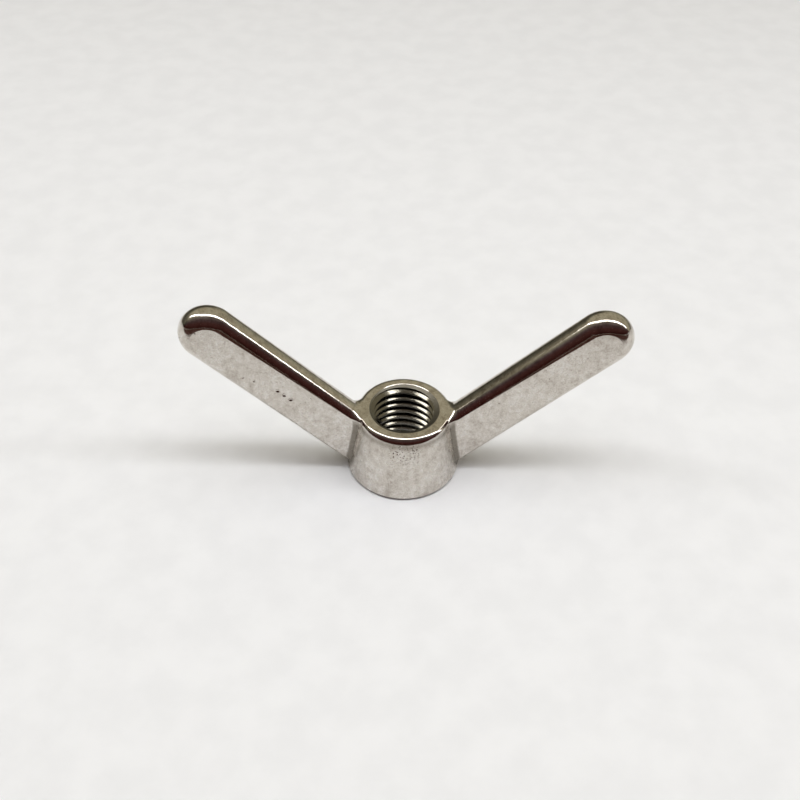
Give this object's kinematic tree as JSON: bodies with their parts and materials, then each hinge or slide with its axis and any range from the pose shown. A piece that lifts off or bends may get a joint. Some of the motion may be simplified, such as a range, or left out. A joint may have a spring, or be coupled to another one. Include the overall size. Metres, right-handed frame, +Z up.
{
  "type": "wing nut",
  "caption": "Heavy stainless wing nut: a tapered hub with a threaded through hole and two long, straight, rising wings with rounded edges and tips.",
  "frame": {"origin": "centre of the flat seating face under the hub, on the thread axis", "axes": "+Z up the thread axis, out of the hub's top; +X from the left wing to the right wing; -Y is the face with the punch marks"},
  "size_m": [0.1234, 0.033, 0.0569],
  "materials": {
    "stainless": "tumbled satin on the flat faces and the hub's side, polished on the rounded edges and the rim"
  },
  "bodies": {
    "root": {"hub": "stainless", "left_wing": "stainless", "right_wing": "stainless"}
  },
  "joints": []
}
